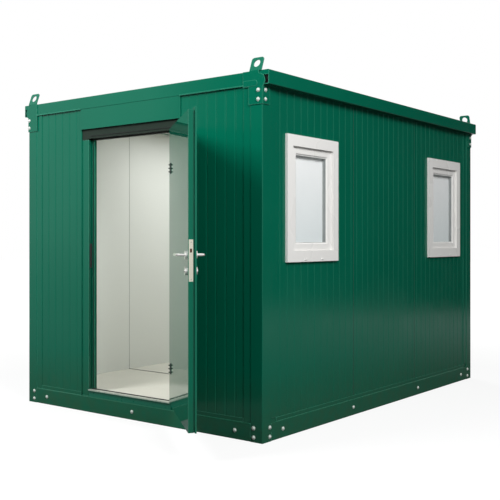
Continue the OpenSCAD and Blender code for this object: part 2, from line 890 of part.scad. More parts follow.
// Places children that stand up along +Z on both faces of the shut leaf at height z, x towards the hinges
module on_both_faces(z) {
    translate([lever_x, flange_y, z]) rotate([90, 0, 0]) children();
    translate([lever_x, inner_y, z]) rotate([-90, 0, 0]) children();
}

// Round roses: one pair carries the levers, the other holds the key cylinder
module lock_roses() {
    color(steel) on_open_door() {
        on_both_faces(lever_z) difference() {
            cylinder(d = rose_d, h = rose_t);
            translate([0, 0, -over]) cylinder(d = lever_d + 2 * run_gap, h = rose_t + 2 * over);
        }
        on_both_faces(cylinder_z) {
            cylinder(d = rose_d, h = rose_t);
            cylinder(d = key_face_d, h = rose_t + key_face_out);
        }
    }
}

// Bent round lever standing up along +Z, its grip towards +X
module lever() {
    neck_h = lever_standoff - lever_bend_r;
    translate([0, 0, knuckle_gap]) cylinder(d = lever_d, h = neck_h - knuckle_gap);
    translate([lever_bend_r, 0, neck_h])
        rotate([90, 0, 0]) rotate([0, 0, 90])
            rotate_extrude(angle = 90) translate([lever_bend_r, 0]) circle(d = lever_d);
    translate([lever_bend_r, 0, lever_standoff])
        rotate([0, 90, 0]) cylinder(d = lever_d, h = grip_l - lever_bend_r);
    translate([grip_l, 0, lever_standoff]) sphere(d = lever_d);
}

// Both levers on one spindle through the leaf
module lever_handle() {
    spindle_l = inner_y - flange_y + 2 * rose_t;
    color(steel) on_open_door() {
        on_both_faces(lever_z) lever();
        translate([lever_x, flange_y - rose_t, lever_z])
            rotate([-90, 0, 0]) cylinder(d = spindle_d, h = spindle_l);
    }
}

// Repeats children at the middle of each hinge
module at_hinges() {
    for (z = [hinge_low_z, hinge_high_z])
        translate([hinge_x, hinge_y, z]) children();
}

// Pin, outer knuckles and plate on the door frame
module hinge_frame_halves() {
    plate_w = door_x1 - hinge_x;
    reach = frame_y - hinge_y;
    color(dark_steel) at_hinges() {
        translate([0, 0, -hinge_half_h]) cylinder(d = hinge_pin_d, h = 2 * hinge_half_h);
        for (z = [-hinge_half_h, hinge_half_h - knuckle_h])
            translate([0, 0, z]) {
                cylinder(d = knuckle_d, h = knuckle_h);
                cube([knuckle_d / 2 + hinge_plate_t, reach, knuckle_h]);
            }
        translate([0, reach - hinge_plate_t, -hinge_half_h]) cube([plate_w, hinge_plate_t, 2 * hinge_half_h]);
    }
}

// Middle knuckle and strap on the leaf's outer face, and a backing plate on its inner face
module hinge_door_halves() {
    backing_x = clear_x1 - backing_gap - backing_w - hinge_x;
    color(dark_steel) on_open_door() at_hinges() {
        difference() {
            union() {
                translate([0, 0, -knuckle_h / 2]) cylinder(d = knuckle_d, h = knuckle_h);
                translate([-strap_neck - over, hinge_out - strap_t, -knuckle_h / 2])
                    cube([strap_neck + over, strap_t, knuckle_h]);
                translate([-strap_l, hinge_out - strap_t, -strap_h / 2])
                    cube([strap_l - strap_neck, strap_t, strap_h]);
            }
            translate([0, 0, -knuckle_h / 2 - over])
                cylinder(d = hinge_pin_d + 2 * run_gap, h = knuckle_h + 2 * over);
        }
        translate([backing_x, inner_y - hinge_y, -strap_h / 2]) cube([backing_w, backing_t, strap_h]);
    }
}

// Box ring round the X axis: outer size, hole size and its reach in x
module box_ring(x0, x1, outer_w, outer_h, hole_w, hole_h) {
    translate([x0, 0, 0]) difference() {
        translate([0, -outer_w / 2, -outer_h / 2]) cube([x1 - x0, outer_w, outer_h]);
        translate([-over, -hole_w / 2, -hole_h / 2]) cube([x1 - x0 + 2 * over, hole_w, hole_h]);
    }
}

// Places a window's pieces, drawn round the X axis, at the front or the back window
module at_window(back) {
    flip_y(back) translate([0, window_y0 + window_w / 2, window_z + window_h / 2]) children();
}

// Frame with an edge that laps the panel and a liner through the wall
module window_frame(back) {
    liner_w = window_hole_w - 2 * fit_gap;
    liner_h = window_hole_h - 2 * fit_gap;
    color(white) at_window(back) {
        box_ring(panel_x, window_x, window_w, window_h, sash_w, sash_h);
        box_ring(panel_x - panel_t, panel_x + over, liner_w, liner_h, sash_w, sash_h);
    }
}

module window_frame_front() { window_frame(false); }
module window_frame_back() { window_frame(true); }

// Widening space in front of the glass, from the glass opening out to the sash's face
module sash_flare() {
    front_x = sash_x + over;
    back_x = sash_x - sash_bevel;
    grow = front_x - back_x;
    intersection() {
        linear_extrude(sash_h, center = true)
            polygon([
                [back_x, -glass_w / 2], [front_x, -glass_w / 2 - grow],
                [front_x, glass_w / 2 + grow], [back_x, glass_w / 2],
            ]);
        along_y(sash_w)
            polygon([
                [back_x, -glass_h / 2], [front_x, -glass_h / 2 - grow],
                [front_x, glass_h / 2 + grow], [back_x, glass_h / 2],
            ]);
    }
}

// Bevelled ring that holds a glazing unit
module window_sash() {
    outer_w = sash_w - 2 * fit_gap;
    outer_h = sash_h - 2 * fit_gap;
    difference() {
        box_ring(sash_x - sash_t, sash_x, outer_w, outer_h, glass_w, glass_h);
        translate([pane_x - pane_t - fit_gap, 0, 0])
            box_block(pane_t + 2 * fit_gap, glass_w + 2 * pane_bite, glass_h + 2 * pane_bite);
        sash_flare();
    }
}

// Block from x = 0 to its depth, centred on the X axis
module box_block(depth, width, height) {
    translate([0, -width / 2, -height / 2]) cube([depth, width, height]);
}

module window_sashes() {
    color(white) for (back = [false, true]) at_window(back) window_sash();
}

module window_panes() {
    color(glass)
        for (back = [false, true])
            at_window(back) translate([pane_x - pane_t, 0, 0])
                box_block(pane_t, glass_w + 2 * (pane_bite - fit_gap), glass_h + 2 * (pane_bite - fit_gap));
}

base_rail_front();
base_rail_back();
base_rail_left();
base_rail_right();
floor_joists();
floor_deck();
corner_post_front_left();
corner_post_front_right();
corner_post_back_left();
corner_post_back_right();
lifting_bracket_front_left();
lifting_bracket_front_right();
lifting_bracket_back_left();
lifting_bracket_back_right();
roof_beam_front();
roof_beam_back();
eave_channel_left();
eave_channel_right();
ceiling_panel();
roof_sheet();
front_panel_left();
front_panel_right();
door_transom();
right_panel_front();
right_panel_middle();
right_panel_back();
left_panel_front();
left_panel_middle();
left_panel_back();
back_panel_left();
back_panel_right();
door_jamb_left();
door_jamb_right();
door_head();
door_sill();
door_leaf();
door_inner_sheet();
lock_faceplate();
lock_roses();
lever_handle();
hinge_frame_halves();
hinge_door_halves();
window_frame_front();
window_frame_back();
window_sashes();
window_panes();
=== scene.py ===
"""Looks of a portable site cabin: finishes, bolts, seals, lock and window details, and a plain studio.

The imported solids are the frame. Every size is in metres and every colour is an sRGB hex value.
"""

import json
import math

import bmesh
import bpy
from bpy.props import FloatProperty, FloatVectorProperty, PointerProperty
from mathutils import Matrix, Vector


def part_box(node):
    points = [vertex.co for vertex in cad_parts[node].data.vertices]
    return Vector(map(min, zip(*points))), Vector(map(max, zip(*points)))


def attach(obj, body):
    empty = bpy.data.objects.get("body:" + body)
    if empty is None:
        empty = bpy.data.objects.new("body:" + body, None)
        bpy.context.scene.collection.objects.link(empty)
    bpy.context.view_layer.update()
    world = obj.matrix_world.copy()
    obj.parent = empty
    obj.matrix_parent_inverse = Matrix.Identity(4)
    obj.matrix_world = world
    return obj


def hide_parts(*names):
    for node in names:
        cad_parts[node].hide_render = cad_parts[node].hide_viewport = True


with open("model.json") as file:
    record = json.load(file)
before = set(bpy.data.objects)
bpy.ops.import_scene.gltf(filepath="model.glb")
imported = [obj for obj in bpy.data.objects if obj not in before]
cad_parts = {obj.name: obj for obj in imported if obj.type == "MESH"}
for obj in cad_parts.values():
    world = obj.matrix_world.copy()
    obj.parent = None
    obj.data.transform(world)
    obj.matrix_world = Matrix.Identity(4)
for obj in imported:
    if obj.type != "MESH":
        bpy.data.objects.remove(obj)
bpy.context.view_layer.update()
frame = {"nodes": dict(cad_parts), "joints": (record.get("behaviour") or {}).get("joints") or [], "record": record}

bl_info = {
    "name": "Site Cabin Looks",
    "version": (1, 0, 0),
    "blender": (4, 5, 0),
    "location": "View3D > Sidebar > Cabin",
    "description": "Finishes and small fittings of a portable site cabin",
    "category": "Object",
}

MM = 0.001


def linear(code):
    """Turns an sRGB hex value into a linear RGBA colour."""
    channels = [int(code[i:i + 2], 16) / 255 for i in (1, 3, 5)]
    curve = [c / 12.92 if c <= 0.04045 else ((c + 0.055) / 1.055) ** 2.4 for c in channels]
    return (*curve, 1.0)


def tone(colour, gain):
    """A colour made lighter or darker."""
    return (*[min(1.0, c * gain) for c in colour[:3]], 1.0)


def per_mm(size):
    """Scale of a pattern whose marks are this many millimetres apart."""
    return 1000.0 / size


def colour_property(name, description, code):
    """Colour setting with its default as an sRGB hex value."""
    return FloatVectorProperty(
        name=name, description=description, subtype="COLOR", size=4, min=0.0, max=1.0, default=linear(code)
    )


def length_property(name, description, millimetres):
    """Length setting with its default in millimetres."""
    return FloatProperty(
        name=name, description=description, unit="LENGTH", min=0.0, default=millimetres * MM
    )


def power_property(name, description, watts):
    """Power setting of a lamp with its default in watts."""
    return FloatProperty(name=name, description=description, unit="POWER", min=0.0, default=watts)


# Places read from the frame

def box_round(places):
    """Lowest and highest corners of the box round these points."""
    low = Vector([min(p[i] for p in places) for i in range(3)])
    high = Vector([max(p[i] for p in places) for i in range(3)])
    return low, high


JOINTS = {joint["name"]: joint for joint in frame["joints"]}
HINGE = Vector(JOINTS["door_hinge"]["pos_m"])
LEVER = Vector(JOINTS["lever_turn"]["pos_m"])
OPEN_ANGLE = -math.radians(JOINTS["door_hinge"]["range_deg"][0])
SHUT_TO_OPEN = (
    Matrix.Translation(HINGE) @ Matrix.Rotation(OPEN_ANGLE, 4, "Z") @ Matrix.Translation(-HINGE)
)
POST_LOW, POST_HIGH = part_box("corner_post_front_right")
HALF_WIDTH = POST_HIGH.x
HALF_LENGTH = -POST_LOW.y
BRACKET_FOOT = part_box("lifting_bracket_front_right")[0].z
RAIL_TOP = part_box("base_rail_right")[1].z
PANEL_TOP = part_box("right_panel_middle")[1].z
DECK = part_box("floor_deck")[1]


def shut_box(node):
    """Lowest and highest corners of a door node when the door is shut."""
    to_shut = SHUT_TO_OPEN.inverted()
    return box_round([to_shut @ v.co for v in frame["nodes"][node].data.vertices])


def window_boxes():
    """Boxes of each window's frame and glazing unit, from front to back."""
    panes = [v.co for v in frame["nodes"]["window_panes"].data.vertices]
    boxes = []
    for node, side in (("window_frame_front", -1), ("window_frame_back", 1)):
        boxes.append((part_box(node), box_round([p for p in panes if p.y * side > 0])))
    return boxes


# Settings a user would change

class CabinFinish(bpy.types.PropertyGroup):
    """Colours of the cabin's finishes"""

    green: colour_property("Moss green", "Outer paint of panels, frame and door", "#025b45")
    white: colour_property("Inner white", "Coating of the inner walls and the ceiling", "#d6d8d3")
    floor: colour_property("Floor cream", "Sheet vinyl on the floor", "#d6d4c9")
    trim: colour_property("Dark olive", "Powder coat on the door head", "#27312b")
    window: colour_property("Window white", "Window profiles", "#e8e7e4")
    gloss: FloatProperty(
        name="Paint roughness",
        description="Roughness of the outer paint",
        subtype="FACTOR",
        min=0.0,
        max=1.0,
        default=0.2,
    )


class CabinFittings(bpy.types.PropertyGroup):
    """Sizes of the small fittings"""

    bolt_head: length_property("Bolt head", "Diameter of the frame bolts' domed heads", 23)
    bolt_rise: length_property("Bolt rise", "Height of the frame bolts' heads", 8)
    bolt_washer: length_property("Bolt washer", "Diameter of the frame bolts' washers", 27)
    washer_t: length_property("Washer thickness", "Thickness of the frame bolts' washers", 2)
    joint_bead: length_property("Joint bead", "Diameter of the seal bead in a panel joint", 6)
    floor_bead: length_property("Floor bead", "Diameter of the bead in the floor's seam", 10)
    glass_t: length_property("Glass", "Thickness of one sheet of glass", 4)
    cap_w: length_property("Drain cap", "Width of the drain caps on the window frames", 30)


class CabinStudio(bpy.types.PropertyGroup):
    """Camera and light of the studio"""

    eye: FloatVectorProperty(
        name="Camera",
        description="Place of the camera",
        subtype="XYZ",
        unit="LENGTH",
        default=(4.304, -5.807, 1.27),
    )
    turn: FloatProperty(
        name="Turn",
        description="Turn of the camera about the vertical",
        subtype="ANGLE",
        default=math.radians(37.7),
    )
    lens: FloatProperty(
        name="Lens",
        description="Focal length in millimetres on 36 mm film",
        unit="CAMERA",
        min=1.0,
        default=60.84,
    )
    shift: FloatProperty(name="Shift", description="Vertical shift of the camera", default=-0.02)
    sky: FloatProperty(name="Sky", description="Strength of the even light", min=0.0, default=0.25)
    front: power_property("Front lamp", "Power of the lamp before the door end", 305.0)
    side: power_property("Side lamp", "Power of the lamp by the windowed side", 415.0)
    back: power_property("Back lamp", "Power of the lamp behind the cabin", 330.0)
    room: power_property("Room lamp", "Power of the lamp under the ceiling", 26.0)


# Shader building

def add_node(tree, kind, inputs=None, **settings):
    """Adds a node with its settings and inputs, and gives its outputs.

    An input is a value to set, a socket to link, or a list of sockets to link.
    """
    made = tree.nodes.new(kind)
    for name, value in settings.items():
        setattr(made, name, value)
    for key, given in (inputs or {}).items():
        for value in given if isinstance(given, list) else [given]:
            if isinstance(value, bpy.types.NodeSocket):
                tree.links.new(value, made.inputs[key])
            else:
                made.inputs[key].default_value = value
    return made.outputs


def start_material(name):
    """New material with an empty tree and its Object coordinates."""
    material = bpy.data.materials.new(name)
    material.use_nodes = True
    tree = material.node_tree
    tree.nodes.clear()
    return material, tree, add_node(tree, "ShaderNodeTexCoord")["Object"]


def end_material(material, tree, shader):
    """Links the finished shader to the material's output."""
    add_node(tree, "ShaderNodeOutputMaterial", {"Surface": shader[0]})
    return material


def made_material(name, maker, *values):
    """The material of this name, made the first time it is asked for."""
    return bpy.data.materials.get(name) or maker(name, *values)


# Patterns that several materials share

def drift(tree, place, size_mm, low, high, detail=2.0, start=0.3, end=0.7):
    """Factor that drifts from low to high in lumps about this many millimetres across."""
    lumps = {"Vector": place, "Scale": per_mm(size_mm), "Detail": detail}
    factor = add_node(tree, "ShaderNodeTexNoise", lumps)["Fac"]
    reach = {"Value": factor, "From Min": start, "From Max": end, "To Min": low, "To Max": high}
    return add_node(tree, "ShaderNodeMapRange", reach)["Result"]


def mottle(tree, place, size_mm, first, second, detail=2.0):
    """Colour that wanders between two tones in lumps about this many millimetres across."""
    lumps = {"Vector": place, "Scale": per_mm(size_mm), "Detail": detail}
    factor = add_node(tree, "ShaderNodeTexNoise", lumps)["Fac"]
    return add_node(tree, "ShaderNodeMix", {0: factor, 6: first, 7: second}, data_type="RGBA")[2]


def rough_bump(tree, layers, place):
    """Chain of bumps from (lump size in mm, depth in mm) pairs."""
    below = {}
    for size_mm, depth_mm in layers:
        lumps = add_node(tree, "ShaderNodeTexNoise", {"Vector": place, "Scale": per_mm(size_mm)})["Fac"]
        relief = {"Height": lumps, "Strength": 1.0, "Distance": depth_mm * MM, **below}
        below = {"Normal": add_node(tree, "ShaderNodeBump", relief)["Normal"]}
    return below["Normal"]


def painted_edge_highlight(tree, width_mm, most):
    """Factor of a painted highlight: it rises to its most where a fold or edge bends within this many millimetres.
    """
    bent = add_node(tree, "ShaderNodeBevel", {"Radius": width_mm * MM}, samples=8)["Normal"]
    flat = add_node(tree, "ShaderNodeNewGeometry")["Normal"]
    straight = add_node(tree, "ShaderNodeVectorMath", {0: bent, 1: flat}, operation="DOT_PRODUCT")["Value"]
    fall = {"Value": straight, "From Min": 0.8, "From Max": 0.985, "To Min": most, "To Max": 0.0}
    return add_node(tree, "ShaderNodeMapRange", fall)["Result"]


def darker_at_foot(tree, place, axes, height, most):
    """Factor that darkens towards the ground in flecks: most at the ground, none at this height in metres."""
    fall = {"Value": axes["Z"], "From Min": 0.0, "From Max": height, "To Min": most, "To Max": 0.0}
    foot = add_node(tree, "ShaderNodeMapRange", fall)["Result"]
    flecks = drift(tree, place, 60, 0.5, 1.0, 6.0)
    return add_node(tree, "ShaderNodeMath", {0: foot, 1: flecks}, operation="MULTIPLY")[0]


def room_side(tree, axes):
    """Factor that is 1 on the faces that look into the room."""
    margin = 1 * MM
    inside = []
    for axis, reach in (("X", DECK.x), ("Y", DECK.y)):
        off = add_node(tree, "ShaderNodeMath", {0: axes[axis]}, operation="ABSOLUTE")[0]
        within = add_node(tree, "ShaderNodeMath", {0: off, 1: reach + margin}, operation="LESS_THAN")
        inside.append(within[0])
    return add_node(tree, "ShaderNodeMath", {0: inside[0], 1: inside[1]}, operation="MULTIPLY")[0]


# Materials

def outer_paint(name, finish, inner=False, edge_highlight=0.5):
    """Polyester coil coating: even gloss, faint orange peel, slow waves from the foam, and a painted highlight on
    its edges and folds.
    """
    material, tree, place = start_material(name)
    axes = add_node(tree, "ShaderNodeSeparateXYZ", {0: place})
    foot_olive, highlight_green = linear("#384229"), linear("#5fb59a")
    green = mottle(tree, place, 700, tone(finish.green, 0.92), tone(finish.green, 1.08))
    # Darker and more olive towards the foot, in flecks
    foot_share = darker_at_foot(tree, place, axes, height=0.45, most=0.45)
    green_with_dark_foot = add_node(tree, "ShaderNodeMix", {0: foot_share, 6: green, 7: foot_olive}, data_type="RGBA")[2]
    # Painted highlight: folds and edges are lightened to a pale green, standing in for light caught by their
    # rounding
    edges = painted_edge_highlight(tree, width_mm=5, most=edge_highlight)
    colour = add_node(tree, "ShaderNodeMix", {0: edges, 6: green_with_dark_foot, 7: highlight_green}, data_type="RGBA")[2]
    if inner:
        layers = {0: room_side(tree, axes), 6: colour, 7: tuple(finish.white)}
        colour = add_node(tree, "ShaderNodeMix", layers, data_type="RGBA")[2]
    shader = add_node(
        tree,
        "ShaderNodeBsdfPrincipled",
        {
            "Base Color": colour,
            "Roughness": drift(tree, place, 250, finish.gloss * 0.85, finish.gloss * 1.25, 4.0),
            "Normal": rough_bump(tree, ((260, 0.2), (5, 0.003)), place),
            "IOR": 1.5,
            "Specular IOR Level": 0.3,
            "Specular Tint": linear("#cbfff3"),
        },
    )
    return end_material(material, tree, shader)


def door_lacquer(name, finish):
    """Gloss lacquer on sheet steel: it mirrors the doorway at a glancing angle, with slow waves."""
    material, tree, place = start_material(name)
    shader = add_node(
        tree,
        "ShaderNodeBsdfPrincipled",
        {
            "Base Color": mottle(tree, place, 500, tone(finish.green, 0.95), tone(finish.green, 1.05)),
            "Roughness": drift(tree, place, 200, 0.03, 0.07, 4.0),
            "Normal": rough_bump(tree, ((400, 0.08),), place),
            "IOR": 1.55,
            "Specular IOR Level": 1.0,
        },
    )
    return end_material(material, tree, shader)


def sill_paint(name, finish):
    """Moss green sill with a bright zinc wear strip along its nose, scuffed by feet."""
    material, tree, place = start_material(name)
    axes = add_node(tree, "ShaderNodeSeparateXYZ", {0: place})
    strip_tall = 7 * MM
    strip_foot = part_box("door_sill")[1].z - strip_tall
    strip = add_node(tree, "ShaderNodeMath", {0: axes["Z"], 1: strip_foot}, operation="GREATER_THAN")[0]
    zinc = mottle(tree, place, 18, linear("#bcc5b9"), linear("#d3dacf"), 5.0)
    layers = {0: strip, 6: tuple(finish.green), 7: zinc}
    shader = add_node(
        tree,
        "ShaderNodeBsdfPrincipled",
        {
            "Base Color": add_node(tree, "ShaderNodeMix", layers, data_type="RGBA")[2],
            "Metallic": add_node(tree, "ShaderNodeMath", {0: strip, 1: 0.6}, operation="MULTIPLY")[0],
            "Roughness": drift(tree, place, 18, 0.25, 0.45, 5.0),
            "Normal": rough_bump(tree, ((30, 0.05),), place),
            "IOR": 1.5,
        },
    )
    return end_material(material, tree, shader)


def inner_coating(name, finish):
    """Off-white coil coating on sheet steel: smooth, glossy, with slow waves that bend its reflections."""
    material, tree, place = start_material(name)
    shader = add_node(
        tree,
        "ShaderNodeBsdfPrincipled",
        {
            "Base Color": mottle(tree, place, 500, tone(finish.white, 0.97), tone(finish.white, 1.03)),
            "Roughness": drift(tree, place, 200, 0.08, 0.14, 4.0),
            "Normal": rough_bump(tree, ((300, 0.12), (4, 0.002)), place),
            "IOR": 1.5,
        },
    )
    return end_material(material, tree, shader)


def sheet_vinyl(name, finish):
    """Calendered vinyl flooring: cream with fine chips and a soft gloss."""
    material, tree, place = start_material(name)
    chips = drift(tree, place, 9, 0.0, 1.0, 3.0, 0.42, 0.58)
    creams = {0: chips, 6: tone(finish.floor, 0.99), 7: tone(finish.floor, 1.01)}
    shader = add_node(
        tree,
        "ShaderNodeBsdfPrincipled",
        {
            "Base Color": add_node(tree, "ShaderNodeMix", creams, data_type="RGBA")[2],
            "Roughness": drift(tree, place, 600, 0.2, 0.26),
            "Normal": rough_bump(tree, ((500, 0.05),), place),
            "IOR": 1.52,
        },
    )
    return end_material(material, tree, shader)


def satin_skin(name, colour):
    """Powder coat, phosphate or moulded plastic: satin with a fine grain, drawn at 3 mm so that it shows."""
    material, tree, place = start_material(name)
    shader = add_node(
        tree,
        "ShaderNodeBsdfPrincipled",
        {
            "Base Color": mottle(tree, place, 40, tone(colour, 0.85), tone(colour, 1.15), 4.0),
            "Roughness": drift(tree, place, 30, 0.32, 0.45),
            "Normal": rough_bump(tree, ((3, 0.02),), place),
            "IOR": 1.5,
            "Specular IOR Level": 0.05,
        },
    )
    return end_material(material, tree, shader)


def hot_zinc(name):
    """Hot-dip galvanised sheet: dull zinc with crystal spangles about 14 mm across."""
    material, tree, place = start_material(name)
    cells = {"Vector": place, "Scale": per_mm(14), "Randomness": 1.0}
    spangle = add_node(tree, "ShaderNodeTexVoronoi", cells)["Color"]
    grey = add_node(tree, "ShaderNodeSeparateColor", {0: spangle})[0]
    zincs = {0: grey, 6: linear("#a4a8a9"), 7: linear("#c3c6c6")}
    dullness = {"Value": grey, "From Min": 0.0, "From Max": 1.0, "To Min": 0.36, "To Max": 0.52}
    shader = add_node(
        tree,
        "ShaderNodeBsdfPrincipled",
        {
            "Base Color": add_node(tree, "ShaderNodeMix", zincs, data_type="RGBA")[2],
            "Metallic": 1.0,
            "Roughness": add_node(tree, "ShaderNodeMapRange", dullness)["Result"],
            "Normal": rough_bump(tree, ((90, 0.2),), place),
        },
    )
    return end_material(material, tree, shader)


def drawn_metal(name, code, rough, along=(1.0, 1.0, 0.05), metal=1.0):
    """Ground, polished or plated steel: fine lines along the work, drawn 2 mm apart so that they show."""
    material, tree, place = start_material(name)
    stretched = add_node(tree, "ShaderNodeMapping", {"Vector": place, "Scale": along})[0]
    shade = linear(code)
    shader = add_node(
        tree,
        "ShaderNodeBsdfPrincipled",
        {
            "Base Color": mottle(tree, stretched, 2, tone(shade, 0.88), tone(shade, 1.08), 3.0),
            "Metallic": metal,
            "Roughness": drift(tree, stretched, 2, rough * 0.85, rough * 1.2, 3.0),
            "Normal": rough_bump(tree, ((2, 0.004),), stretched),
        },
    )
    return end_material(material, tree, shader)


def window_profile(name, finish):
    """Extruded hard vinyl: clean white with a soft, even gloss."""
    material, tree, place = start_material(name)
    shader = add_node(
        tree,
        "ShaderNodeBsdfPrincipled",
        {
            "Base Color": mottle(tree, place, 400, tone(finish.window, 0.99), tone(finish.window, 1.01)),
            "Roughness": drift(tree, place, 400, 0.26, 0.3),
            "IOR": 1.53,
        },
    )
    return end_material(material, tree, shader)


def clear_glass(name):
    """Clear float glass as one thin sheet: nearly invisible apart from its sheen and a faint green."""
    material, tree, place = start_material(name)
    shader = add_node(
        tree,
        "ShaderNodeBsdfPrincipled",
        {
            "Base Color": mottle(tree, place, 300, linear("#dfeae6"), linear("#e6efec")),
            "Normal": rough_bump(tree, ((400, 0.02),), place),
            "Roughness": 0.02,
            "IOR": 1.52,
            "Alpha": 0.04,
        },
    )
    return end_material(material, tree, shader)


def opal_glass(name):
    """Acid-frosted sheet: milky and faintly blue, with painted light that makes its colour paler towards the top,
    as if the ceiling lit it.
    """
    material, tree, place = start_material(name)
    axes = add_node(tree, "ShaderNodeSeparateXYZ", {0: place})
    low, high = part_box("window_panes")
    # Painted light: the sheet's colour grows paler from its foot to its top
    climb = {"Value": axes["Z"], "From Min": low.z, "From Max": high.z, "To Min": 0.0, "To Max": 1.0}
    rise = add_node(tree, "ShaderNodeMapRange", climb)["Result"]
    milk_with_painted_light = {0: rise, 6: linear("#e6edee"), 7: linear("#fdfefe")}
    shader = add_node(
        tree,
        "ShaderNodeBsdfPrincipled",
        {
            "Base Color": add_node(tree, "ShaderNodeMix", milk_with_painted_light, data_type="RGBA")[2],
            "Roughness": drift(tree, place, 200, 0.3, 0.36),
            "IOR": 1.52,
            "Transmission Weight": 0.05,
        },
    )
    return end_material(material, tree, shader)


def joint_sealant(name):
    """Grey silicone in the joints of the room: satin and slightly uneven."""
    material, tree, place = start_material(name)
    shader = add_node(
        tree,
        "ShaderNodeBsdfPrincipled",
        {
            "Base Color": mottle(tree, place, 40, linear("#7e817c"), linear("#8f928d"), 3.0),
            "Roughness": drift(tree, place, 15, 0.35, 0.5),
            "IOR": 1.43,
        },
    )
    return end_material(material, tree, shader)


def seal_rubber(name):
    """Extruded EPDM rubber: dull black with a dusty bloom."""
    material, tree, place = start_material(name)
    shader = add_node(
        tree,
        "ShaderNodeBsdfPrincipled",
        {
            "Base Color": mottle(tree, place, 25, linear("#101111"), linear("#1d1f1e"), 4.0),
            "Roughness": drift(tree, place, 12, 0.5, 0.7),
            "IOR": 1.5,
        },
    )
    return end_material(material, tree, shader)


def bolt_zinc():
    """Bright zinc plate on the frame bolts, milky from its clear passivation."""
    return made_material("bright_zinc_plate", drawn_metal, "#d6dfd9", 0.35, (1.0, 1.0, 1.0), 0.45)


def dark_plate():
    """Dark phosphated steel on the hinges, their bolts and the strike plate: grey-black and dull."""
    return made_material("phosphated_steel", satin_skin, linear("#3c403f"))


def satin_steel():
    """Satin stainless steel on the lock's faceplate: pale, with a broad sheen."""
    return made_material("satin_stainless", drawn_metal, "#e6e5d3", 0.22)


def polished_steel():
    """Polished stainless steel on the levers and roses: it mirrors the sky in small glints."""
    return made_material("polished_stainless", drawn_metal, "#f2f2ee", 0.12)


def rubber():
    """Black rubber of all the seals."""
    return made_material("epdm_rubber", seal_rubber)


# Mesh building

def add_piece(name, mesh, material, body):
    """Links a finished mesh as a piece of the cabin that rides on a body."""
    mesh.name = name
    piece = bpy.data.objects.new(name, mesh)
    bpy.context.scene.collection.objects.link(piece)
    mesh.materials.clear()
    mesh.materials.append(material)
    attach(piece, body)
    return piece


def mesh_from(shape, place=None):
    """Mesh from an edit mesh, moved to its place, with faces outwards."""
    if place:
        bmesh.ops.transform(shape, matrix=place, verts=shape.verts)
    bmesh.ops.remove_doubles(shape, verts=shape.verts, dist=1e-6)
    bmesh.ops.recalc_face_normals(shape, faces=shape.faces)
    mesh = bpy.data.meshes.new("piece")
    shape.to_mesh(mesh)
    shape.free()
    return mesh


def add_block(shape, low, high, edge):
    """Box from corner to corner with rounded edges."""
    middle = (Vector(low) + Vector(high)) / 2
    size = Vector(high) - Vector(low)
    place = Matrix.Translation(middle) @ Matrix.Diagonal((*size, 1.0))
    made = bmesh.ops.create_cube(shape, size=1.0, matrix=place)
    edges = {e for v in made["verts"] for e in v.link_edges}
    bmesh.ops.bevel(shape, geom=list(edges), offset=edge, segments=2, profile=0.5, affect="EDGES")


def add_bead(shape, start, end, radius, sides=10):
    """Round bead from start to end."""
    line = Vector(end) - Vector(start)
    middle = (Vector(start) + Vector(end)) / 2
    place = Matrix.Translation(middle) @ line.to_track_quat("Z", "Y").to_matrix().to_4x4()
    bmesh.ops.create_cone(
        shape, cap_ends=True, segments=sides, radius1=radius, radius2=radius, depth=line.length, matrix=place
    )


def half_round(width, rise, steps=6):
    """Section of a half-round strip as (inset, rise) points, flat side first."""
    angles = [math.pi * i / steps for i in range(steps + 1)]
    return [(width / 2 * (1 - math.cos(a)), rise * math.sin(a)) for a in angles]


def add_loop(shape, low, high, section, to_place, open_foot=False):
    """Mitred strip round a rectangle.

    The section gives inset and rise, and to_place turns (u, v, rise) into a point.
    """
    rings = []
    for inset, rise in section:
        foot = 0.0 if open_foot else inset
        corners = [
            (low[0] + inset, low[1] + foot),
            (low[0] + inset, high[1] - inset),
            (high[0] - inset, high[1] - inset),
            (high[0] - inset, low[1] + foot),
        ]
        rings.append([shape.verts.new(to_place(u, v, rise)) for u, v in corners])
    spans = ((0, 1), (1, 2), (2, 3)) if open_foot else ((0, 1), (1, 2), (2, 3), (3, 0))
    for i, ring in enumerate(rings):
        after = rings[(i + 1) % len(rings)]
        for a, b in spans:
            shape.faces.new((ring[a], ring[b], after[b], after[a]))
    if open_foot:
        shape.faces.new([ring[0] for ring in rings])
        shape.faces.new([ring[3] for ring in reversed(rings)])


# Domed bolts as a node tree

BOLT_SIZES = ("Head Diameter", "Head Rise", "Washer Diameter", "Washer Thickness")


